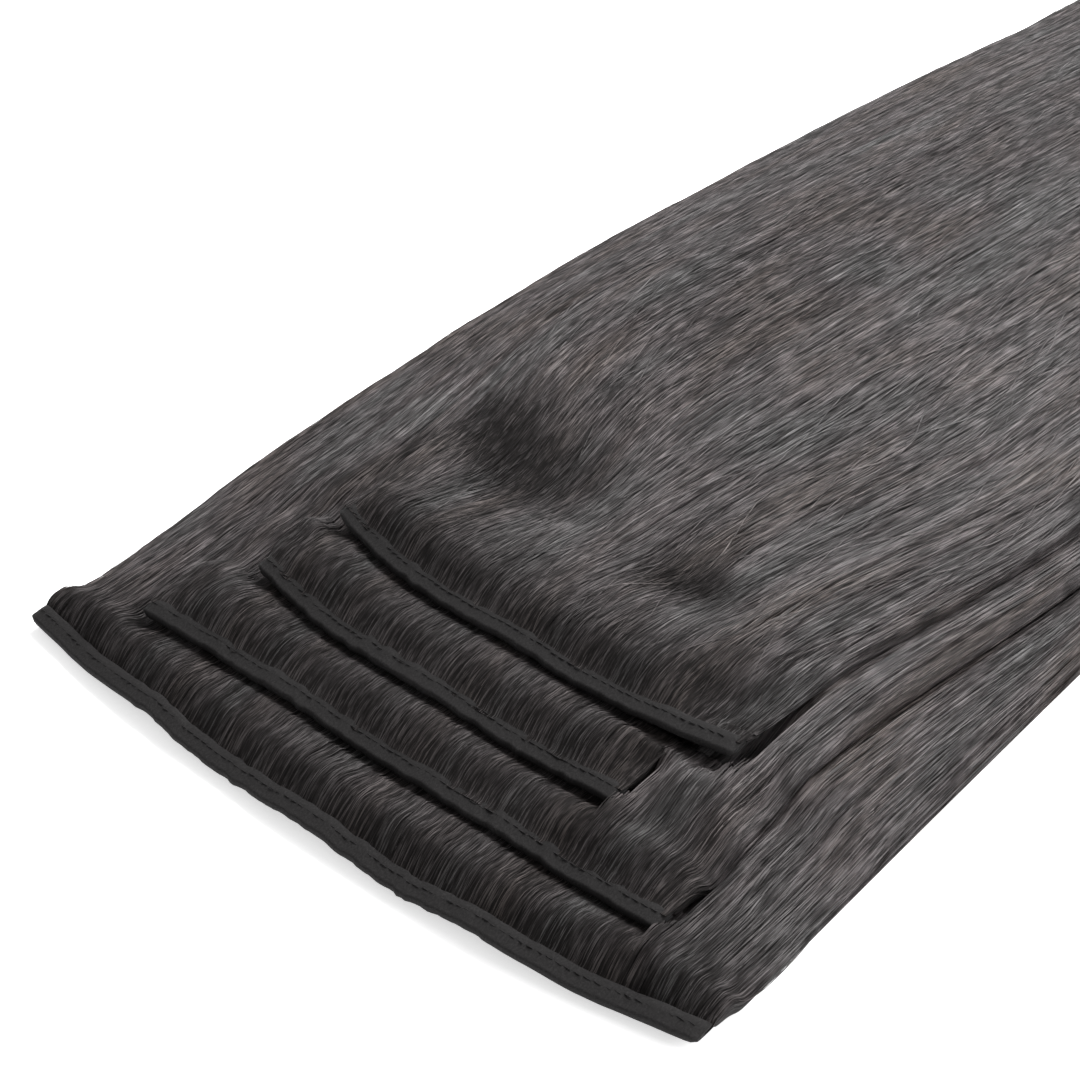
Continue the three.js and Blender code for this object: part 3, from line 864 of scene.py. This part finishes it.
def band_parts(number):
    """Folded cloth band with a soft, slightly uneven section, and its row of stitches."""
    band = bands[number - 1]
    section = band_section()
    x = np.linspace(band.left, band.right, int((band.right - band.left) / BAND_STEP))
    still = 0 * x
    wavy_y = 0.35 * MM * drift_fine(x * 3, 0.02 * number + still)
    wavy_y = wavy_y + 0.3 * MM * hump_lift(x, 0.1 + still)
    wavy_z = 0.3 * MM * hump_lift(x, 0.05 * number + still)
    front, seat = band.front(x) + wavy_y, band.seat(x) + wavy_z
    swell = 1 + 0.1 * hump_shift(x, 0.07 * number + still)
    from_end = np.clip(np.minimum(x - band.left, band.right - x) / BAND_END, 0, 1)
    taper = 0.45 + 0.55 * np.sqrt(1 - (1 - from_end) ** 2)
    middle = 0.5 * BAND_HEIGHT
    corners = np.empty((len(x), len(section), 3))
    corners[..., 0] = x[:, None]
    corners[..., 1] = front[:, None] + section[None, :, 0] + (0.8 * MM * (1 - taper))[:, None]
    raised = section[None, :, 1] * swell[:, None] - middle
    corners[..., 2] = seat[:, None] + middle + raised * taper[:, None]
    index = np.arange(corners[..., 0].size).reshape(corners.shape[:2])
    looped = np.concatenate([index, index[:, :1]], axis=1)
    quads = [grid_quads(looped)]
    half = len(section) // 2
    for row, flip in ((index[0], 1), (index[-1], -1)):
        pairs = [(row[k], row[k + 1], row[-k - 2], row[-k - 1]) for k in range(half - 1)]
        quads.append(np.array(pairs)[:, ::flip])
    reach = np.cumsum(np.linalg.norm(np.diff(section, axis=0, prepend=section[:1]), axis=1))
    u = np.repeat((x / SPAN + 0.5)[:, None], len(section), axis=1)
    v = np.repeat((reach / (20 * MM))[None, :], len(x), axis=0)
    cloth = corners.reshape(-1, 3), np.concatenate(quads), np.stack([u, v], axis=-1).reshape(-1, 2)
    return joined([cloth, stitches(number, x, front, seat)])


def stitches(number, x, front, seat):
    """Raised thread along the top of a band, near the hair."""
    pitch, length, radius = 2.3 * MM, 2.0 * MM, 0.16 * MM
    middles = np.arange(x[0] + pitch, x[-1] - pitch, pitch)
    around = np.linspace(0, 2 * np.pi, 6, endpoint=False)
    along = np.linspace(-0.5, 0.5, 5)
    bulge = np.sqrt(np.clip(1 - (2 * along) ** 2, 0.04, 1))
    ring = np.stack([np.cos(around), np.sin(around)], axis=-1)
    place = np.empty((len(middles), 5, 6, 3))
    place[..., 0] = (middles[:, None] + along * length)[:, :, None]
    y = np.interp(middles, x, front) + BAND_DEPTH - SLOT_DEPTH + 0.6 * MM
    z = np.interp(middles, x, seat) + BAND_HEIGHT + 0.04 * MM
    place[..., 1] = y[:, None, None] + radius * (bulge[:, None] * ring[:, 0])[None]
    place[..., 2] = z[:, None, None] + radius * (bulge[:, None] * ring[:, 1])[None]
    index = np.arange(place[..., 0].size).reshape(len(middles), 5, 6)
    looped = np.concatenate([index, index[:, :, :1]], axis=2)
    quads = np.concatenate([grid_quads(one) for one in looped])
    corners = place.reshape(-1, 3)
    places = np.stack([corners[:, 0] / SPAN + 0.5, 0.9 + 0 * corners[:, 0]], axis=1)
    return corners, quads, places


def make_top_strands(material, edges, rng):
    """Strands of the top weft in two layers, the upper one with loose strands."""
    roots = spread_roots(*edges, TOP_COUNT, rng)
    made = [strands(4, roots, 400, depths=(0.15, 0.8)), side_strands(4, TOP_SIDE_COUNT, 450)]
    make_piece("hair_4_strands", joined(made), material)
    roots = spread_roots(*edges, TOP_COUNT, rng)
    made = [strands(4, roots, 410, depths=(-0.05, 0.45))]
    loose = spread_roots(*edges, FLYAWAYS, rng)
    made.append(strands(4, loose, 470, FLYAWAY_WANDER, (-0.6, -0.1)))
    make_piece("hair_4_strands_upper", joined(made), material)


def make_strands(number, material, edges, rng):
    """Strands of a lower weft: short ones up to the next band and long ones beside it."""
    roots = spread_roots(*edges, STRAND_COUNTS[number], rng)
    free = spread_roots(*edges, 6 * STRAND_COUNTS[number], rng)
    free = free[~np.isfinite(cover(number, free)[0])][: 8 * FREE_COUNTS[number]]
    free = free[rng.permutation(len(free))[: FREE_COUNTS[number]]]
    roots = np.concatenate([roots[np.isfinite(cover(number, roots)[0])], free])
    seed = 100 * number
    made = [strands(number, roots, seed), side_strands(number, SIDE_COUNT, seed + 50)]
    make_piece(f"hair_{number}_strands", joined(made), material)


def make_hair():
    """Bodies and strands of all four wefts."""
    material, ridged = hair_material("hair", False), hair_material("hair_body", True)
    for number in NUMBERS:
        band = bands[number - 1]
        rng = np.random.default_rng(100 + number)
        make_piece(f"hair_{number}_body", weft_body(number), ridged, f"hair_{number}")
        edges = (band.left + 0.4 * MM, band.right - 0.4 * MM)
        if number == 4:
            make_top_strands(material, edges, rng)
        else:
            make_strands(number, material, edges, rng)


def make_bands(material):
    """Cloth bands of all four wefts."""
    for number in NUMBERS:
        make_piece(f"band_{number}_cloth", band_parts(number), material, f"band_{number}")


def make_floor():
    """Pale floor with a faint grain and a little light of its own."""
    mesh = bpy.data.meshes.new("floor")
    turns = ((-1, -1), (1, -1), (1, 1), (-1, 1))
    corners = [(FLOOR_REACH * x, FLOOR_REACH * y, 0) for x, y in turns]
    mesh.from_pydata(corners, [], [(0, 1, 2, 3)])
    floor = bpy.data.objects.new("floor", mesh)
    bpy.context.scene.collection.objects.link(floor)
    material, tree, shader, add = nodes_of("floor")
    place = add("ShaderNodeTexCoord").outputs["Object"]
    grain = add("ShaderNodeTexNoise", {"Vector": place, "Scale": 40.0})
    tree.links.new(ramp(add, grain.outputs["Fac"], FLOOR_STOPS), shader.inputs["Base Color"])
    shader.inputs["Roughness"].default_value = 0.9
    shader.inputs["Specular IOR Level"].default_value = 0.1
    shader.inputs["Emission Color"].default_value = WHITE
    shader.inputs["Emission Strength"].default_value = FLOOR_GLOW
    mesh.materials.append(material)


def make_lights():
    """Even light from all round, and large soft lights above, behind and beside the hair."""
    world = bpy.data.worlds.new("studio")
    world.use_nodes = True
    background = world.node_tree.nodes["Background"]
    background.inputs["Color"].default_value = WHITE
    background.inputs["Strength"].default_value = WORLD_STRENGTH
    bpy.context.scene.world = world
    for name, place, aim, size, power in LIGHTS:
        light = bpy.data.lights.new(name, "AREA")
        light.shape = "SQUARE"
        light.size = size
        light.energy = power
        lamp = bpy.data.objects.new(name, light)
        lamp.location = place
        ahead = Vector(aim) - Vector(place)
        lamp.rotation_euler = ahead.to_track_quat("-Z", "Y").to_euler()
        bpy.context.scene.collection.objects.link(lamp)


def make_camera():
    """Camera beyond the near right corner, looking down along the hair."""
    low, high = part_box("band_1")
    azimuth, elevation = math.radians(CAMERA_AZIMUTH), math.radians(CAMERA_ELEVATION)
    ahead = Vector(
        (
            -math.sin(azimuth) * math.cos(elevation),
            math.cos(azimuth) * math.cos(elevation),
            -math.sin(elevation),
        )
    )
    aim = Vector(((low.x + high.x) / 2 + CAMERA_AIM[0], low.y + CAMERA_AIM[1], 0))
    data = bpy.data.cameras.new("camera")
    data.lens = SENSOR * FOCAL_SHARE
    data.sensor_width = SENSOR
    data.clip_start = 0.01
    data.clip_end = 50.0
    camera = bpy.data.objects.new("camera", data)
    camera.location = aim - ahead * CAMERA_DISTANCE
    camera.rotation_euler = ahead.to_track_quat("-Z", "Y").to_euler()
    bpy.context.scene.collection.objects.link(camera)
    bpy.context.scene.camera = camera
    bpy.context.scene.view_settings.view_transform = "Standard"


def paint_clips(material):
    """Paint on the snap clips, which are the solids themselves."""
    for name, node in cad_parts.items():
        if name.startswith("clip"):
            node.data.materials.clear()
            node.data.materials.append(material)


make_hair()
make_bands(cloth_material())
paint_clips(clip_material())
make_floor()
make_lights()
make_camera()
